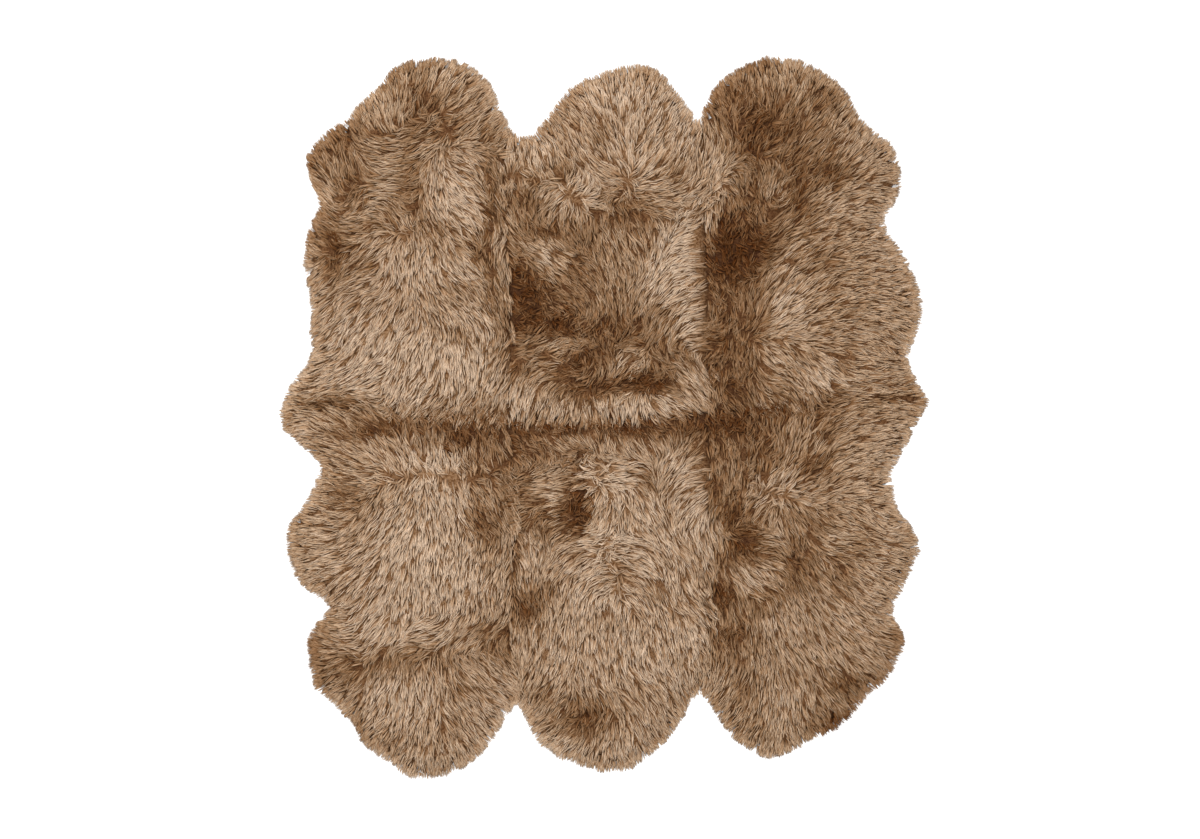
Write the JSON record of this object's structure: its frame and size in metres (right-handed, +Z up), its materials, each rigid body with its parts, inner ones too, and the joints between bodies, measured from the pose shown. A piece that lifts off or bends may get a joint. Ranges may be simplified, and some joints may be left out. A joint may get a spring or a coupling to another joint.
{
  "type": "sheepskin rug",
  "caption": "Large sheepskin floor rug sewn from whole pelts, with scalloped lobed edges and long light brown wool, lying flat with the wool up.",
  "frame": {"origin": "middle of the underside, on the floor that the rug lies on", "axes": "+Z up out of the wool, +Y along the rug's length towards its top pelts, +X across its width"},
  "size_m": [1.787, 2, 0.0632],
  "materials": {
    "wool": "long, soft, slightly wavy brown wool",
    "hide": "tanned suede hide with flat sewn joins"
  },
  "bodies": {
    "root": {"pelt_top_left": "wool", "pelt_top_middle": "wool", "pelt_top_right": "wool", "pelt_bottom_left": "wool", "pelt_bottom_middle": "wool", "pelt_bottom_right": "wool"}
  },
  "joints": []
}
